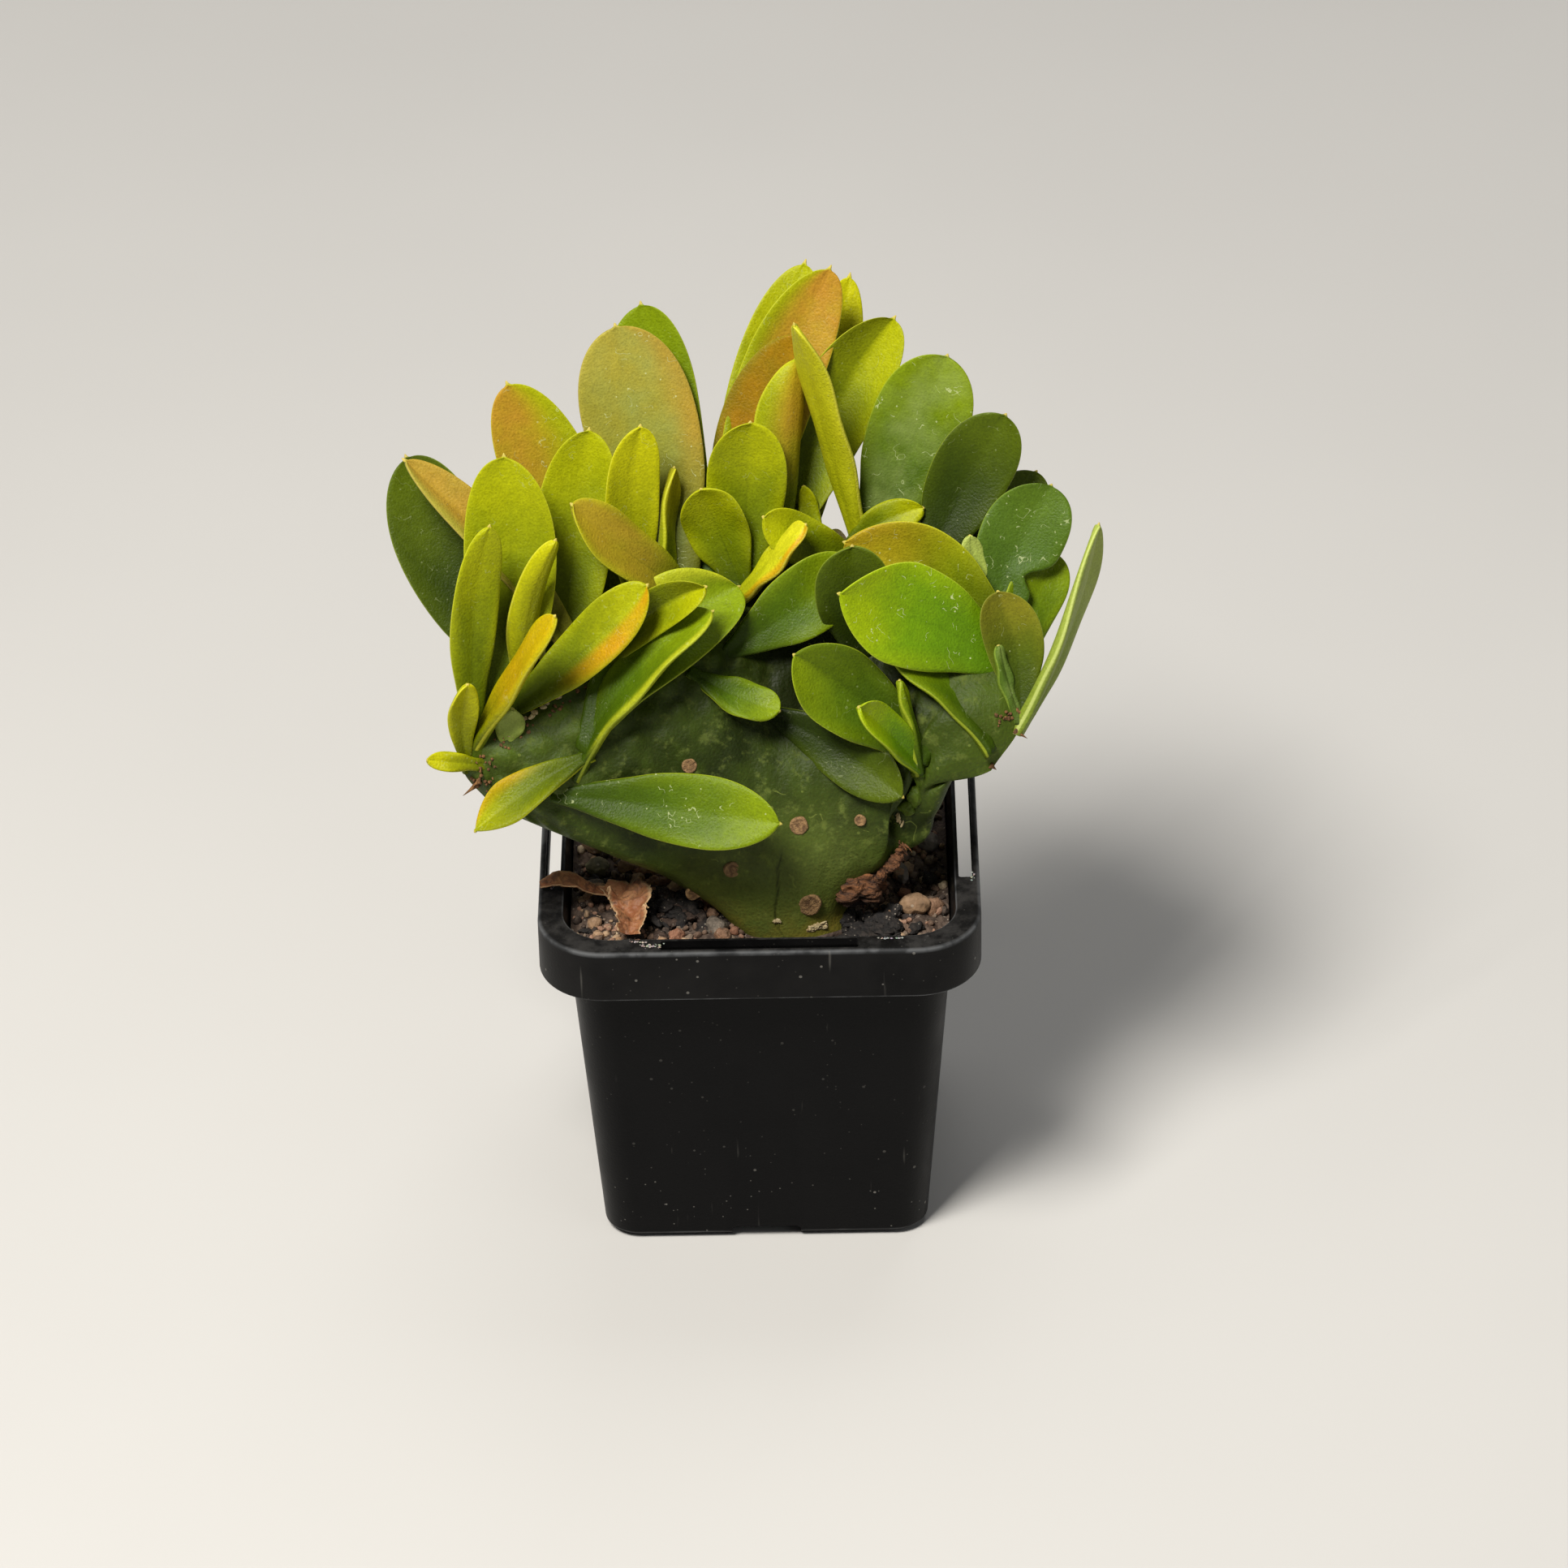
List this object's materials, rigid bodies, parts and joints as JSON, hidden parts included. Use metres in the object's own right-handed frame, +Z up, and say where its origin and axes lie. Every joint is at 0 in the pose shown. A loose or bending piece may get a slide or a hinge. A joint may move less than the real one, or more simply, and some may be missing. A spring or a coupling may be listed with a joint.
{
  "type": "potted crested monadenium",
  "caption": "Crested monadenium with a thick fan-shaped green stem and spoon-shaped yellow-green leaves along its crest, rooted in gritty potting mix in a small square black nursery pot.",
  "frame": {"origin": "under the middle of the whole object's box, on the surface that the pot stands on; the pot's own centre is 1.7 mm towards +X and 1.5 mm towards -Y from it", "axes": "+Z up, -Y towards the side that the crest's two lobes curl to, which is the side the picture shows"},
  "size_m": [0.1132, 0.073, 0.152],
  "materials": {
    "plant": "satin",
    "potting_mix": "matte",
    "pot": "satin",
    "dry_leaf": "matte",
    "stone_tan": "matte",
    "stone_olive": "matte",
    "stone_grey": "matte"
  },
  "bodies": {
    "root": {"crested_plant": "plant", "potting_mix": "potting_mix", "pot": "pot", "dry_leaf": "dry_leaf", "stone_left_back": "stone_tan", "stone_left_olive": "stone_olive", "stone_left_round": "stone_tan", "stone_left_pale": "stone_tan", "stone_right_grey": "stone_grey", "stone_right_long": "stone_grey", "stone_right_tan": "stone_tan"}
  },
  "joints": []
}
